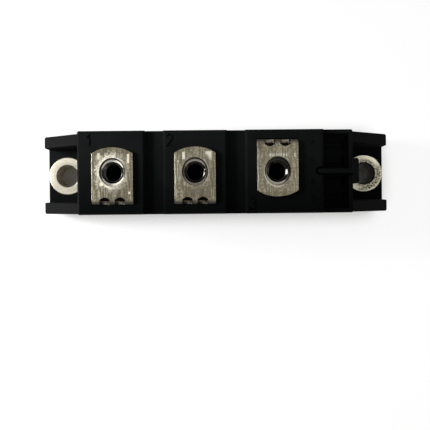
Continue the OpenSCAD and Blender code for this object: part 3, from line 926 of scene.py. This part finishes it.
def terminal_finish(name, x, ring_wear, edge_way, edge_wear, hole_from, bright_patches, streaks, stains):
    """Brushed nickel with slot wear, and lists of patches: wear and painted reflections, streaks and stains.
    """
    material, tree, shader = new_material(name)
    place = in_mm(tree, x)
    brushed = use_group(tree, brush_lines, Place=place, Stretch=brushing_stretch)
    lines = ranged(tree, brushed["Lines"], *brushed_middle)
    specks = ranged(tree, noise(tree, place, speck_scale, speck_detail), *speck_middle)
    slot_radius = from_axis(tree, in_slot(tree, place))
    # A painted shadow on the slot's rim, strongest towards the back
    rim = times(
        tree, ranged(tree, slot_radius, *slot_rim, 1.0, 0.0),
        ranged(tree, towards(tree, place, backwards), *rim_fade, rim_front_share, 1.0),
    )
    edge_light = times(
        tree, ranged(tree, slot_radius, *edge_inner), ranged(tree, slot_radius, *edge_outer, 1.0, 0.0),
        ranged(tree, towards(tree, place, edge_way), *edge_reach), edge_wear,
    )
    # Wear round the slot and bright patches, two of them painted reflections on the second strip
    wear_and_reflections = largest(
        tree, edge_light, times(tree, round_slot(tree, place, specks), ring_wear),
        times(tree, patches(tree, place, bright_patches), at_least(tree, specks, patch_speck_least)),
        times(tree, patches(tree, place, streaks), at_least(tree, lines, streak_least)),
    )
    clouded = blend(tree, brushed["Clouds"], nickel_dull, nickel_pale)
    scratches = ranged(tree, times(tree, lines, specks), *scratch_range, scratch_least, 1.0)
    grained = blend(tree, scratches, nickel_stained, clouded)
    dulled = blend(tree, patches(tree, place, stains), grained, nickel_stained)
    flat_tone = blend(tree, rim, blend(tree, wear_and_reflections, dulled, nickel_bright), painted_shade_brown)
    from_middle = size_of(tree, towards(tree, place, backwards))
    bent = ranged(tree, from_middle, *bend_start)
    smooth = varied(tree, brushed["Lines"], brushed_rough)
    set_sockets(
        tree, shader, Metallic=1.0,
        Base_Color=blend(tree, bent, flat_tone, bend_tone(tree, place, from_middle, hole_from)),
        Roughness=add(tree, "Mix", {0: largest(tree, wear_and_reflections, bent), 2: smooth, 3: rubbed_rough}).outputs[0],
        Normal=bumped(tree, brushed["Lines"], line_depth, line_strength),
    )
    return material


# Each patch is its low corner, its high corner and its amount, and may have a slant's way and start
terminal_looks = [
    {
        "ring_wear": 1.0, "edge_way": (0.7, -0.7, 0), "edge_wear": 0.5, "hole_from": -0.9,
        "bright_patches": [
            ((3.5, 2.1), (4.3, 4.6), 1.0), ((3.75, -5.3), (4.5, -4.5), 1.0),
            ((-5.6, -6.9), (-4.9, -4.0), 1.0), ((-3.7, 3.0), (-2.8, 4.9), 0.75),
        ],
        "streaks": [
            ((-3.9, -3.9), (-2.4, 4.3), 0.5), ((-5.0, -6.3), (-4.4, 4.6), 0.2),
            ((-3.6, -6.0), (2.6, -3.2), 0.15),
        ],
        "stains": [
            ((-4.0, 4.2), (4.2, 6.6), 0.35), ((3.8, -4.0), (5.0, 2.0), 0.15),
            ((-3.0, -6.6), (3.8, -3.7), 0.45), ((-6.2, -3.6), (-4.1, 4.8), 0.5),
        ],
    },
    {
        "ring_wear": 0.15, "edge_way": (1.0, 0.0, 0), "edge_wear": 0.4, "hole_from": -0.5,
        "bright_patches": [
            # The two patches on this line are painted reflections
            ((-3.2, 2.9), (-2.2, 5.0), 1.0), ((2.2, 2.6), (4.2, 5.1), 1.0, ((0.777, 0.63, 0), 4.6)),
            ((-4.4, 2.2), (-3.7, 3.0), 0.8), ((-4.4, -5.0), (-3.4, -4.6), 0.6),
            ((3.9, -4.9), (4.3, -4.4), 0.7),
        ],
        "streaks": [
            ((-5.0, -6.2), (-4.4, 4.7), 0.8), ((2.4, -4.6), (2.8, -2.2), 0.7),
            ((-3.0, -5.6), (-2.5, -4.4), 0.6), ((-4.7, -2.0), (-3.2, 2.4), 0.4),
        ],
        "stains": [((-2.8, -6.4), (3.8, -3.4), 0.45), ((3.6, -4.2), (5.0, 2.4), 0.35)],
    },
    {
        "ring_wear": 0.1, "edge_way": (-0.6, -0.8, 0), "edge_wear": 0.7, "hole_from": -1.6,
        "bright_patches": [((3.8, 3.2), (4.5, 4.4), 0.8), ((2.5, 3.2), (2.9, 5.4), 0.5)],
        "streaks": [
            ((-2.4, 3.4), (2.4, 4.4), 0.9), ((-5.0, -4.6), (-4.5, 5.6), 0.9),
            ((3.8, -4.2), (4.5, -1.0), 0.6),
        ],
        "stains": [((-5.0, -7.2), (5.0, -4.8), 0.4), ((-4.9, 5.2), (-3.3, 7.0), 0.6)],
    },
]


def strip_stays_sharp(*ends):
    """True for edges of the relief holes in the bend and of the leg's slot below them."""
    def by_relief(end):
        at_bend = abs(end.y) > relief_from_y and end.z > relief_from_z
        return at_bend and any(abs(end.x - x) < relief_half_w for x in terminal_x)

    return all(by_relief(end) for end in ends)


for count, (x, look) in enumerate(zip(terminal_x, terminal_looks), start=1):
    terminal = eased_copy(f"terminal_{count}", f"terminal_strip_{count}", strip_edge_r, strip_stays_sharp)
    material = terminal_finish(f"terminal_plating_{count}", x, **look)
    finish_piece(terminal, material, f"terminal_{count}")

# Studio
# A paper floor that shows white, and one small soft lamp above the left end. The metal mirrors a grey room
# with a pale panel and a white horizon. The camera hangs straight above, a little in front of the middle.
floor_size = 12.0
paper_grey = (0.30, 0.30, 0.30, 1)
paper_rough = (0.85, 0.95)
fibre_scale = 2.0
fibre_detail = 3.0
glow_white = (1.0, 1.0, 1.0, 1)
floor_glow = 0.87
shade_reach = 8 * mm
shade_samples = 8
shade_range = (0.10, 0.90)
room_dim = (0.26, 0.26, 0.26, 1)
room_grey = (0.36, 0.36, 0.36, 1)
room_pale = (0.80, 0.80, 0.80, 1)
horizon_white = (1.0, 1.0, 1.0, 1)
horizon_up = (0.05, 0.14)
panel_left = (0.05, 0.30)
panel_right = (0.38, 0.62)
lamp_place = Vector((-170, 30, 120)) * mm
lamp_aim = Vector((-60, 0, 20)) * mm
lamp_size = 60 * mm
lamp_spread = math.radians(60)
lamp_power = 0.052
camera_place = (-0.24 * mm, -6.84 * mm, 206.4 * mm)
camera_turn = math.radians(-0.55)
camera_sensor = 36.0
camera_lens = 61.28
camera_shift_y = -0.0349
camera_near = 10 * mm


def seen(tree):
    """1 for what is seen, mirrored or looked through, and 0 for what only lights other things."""
    rays = add(tree, "LightPath").outputs
    return largest(tree, rays["Is Camera Ray"], rays["Is Glossy Ray"], rays["Is Transmission Ray"])


bpy.ops.object.select_all(action="DESELECT")
bpy.ops.mesh.primitive_plane_add(size=floor_size, location=(0, 0, 0))
floor = bpy.context.object
floor.name = "paper_floor"
paper, tree, shader = new_material("floor_paper")
fibre = noise(tree, in_mm(tree), fibre_scale, fibre_detail)
open_share = add(tree, "AmbientOcclusion", {"Distance": shade_reach}, samples=shade_samples).outputs["AO"]
open_sky = ranged(tree, open_share, *shade_range)
set_sockets(
    tree, shader, Base_Color=paper_grey, Emission_Color=glow_white, Specular_IOR_Level=0.0,
    Roughness=varied(tree, fibre, paper_rough),
    Emission_Strength=times(tree, seen(tree), open_sky, floor_glow),
)
floor.data.materials.append(paper)

world = bpy.data.worlds.new("studio_room")
bpy.context.scene.world = world
world.use_nodes = True
tree = world.node_tree
way = add(tree, "SeparateXYZ", {0: add(tree, "TexCoord").outputs["Generated"]}).outputs
low_down = ranged(tree, way["Z"], *horizon_up, 1.0, 0.0)
panel = times(tree, ranged(tree, way["X"], *panel_left), ranged(tree, way["X"], *panel_right, 1.0, 0.0))
mirrored = blend(tree, low_down, blend(tree, panel, room_grey, room_pale), horizon_white)
backdrop = blend(tree, seen(tree), room_dim, mirrored)
tree.links.new(backdrop, tree.nodes["Background"].inputs["Color"])

bpy.ops.object.light_add(type="AREA", location=lamp_place)
lamp = bpy.context.object
lamp.name = "soft_lamp"
lamp.data.shape = "DISK"
lamp.data.size = lamp_size
lamp.data.energy = lamp_power
lamp.data.spread = lamp_spread
lamp.rotation_euler = (lamp_aim - lamp_place).to_track_quat("-Z", "Y").to_euler()

bpy.ops.object.camera_add(location=camera_place, rotation=(0, 0, camera_turn))
camera = bpy.context.object
camera.name = "camera"
camera.data.sensor_width = camera_sensor
camera.data.lens = camera_lens
camera.data.shift_y = camera_shift_y
camera.data.clip_start = camera_near
bpy.context.scene.camera = camera
bpy.context.scene.view_settings.view_transform = "Standard"
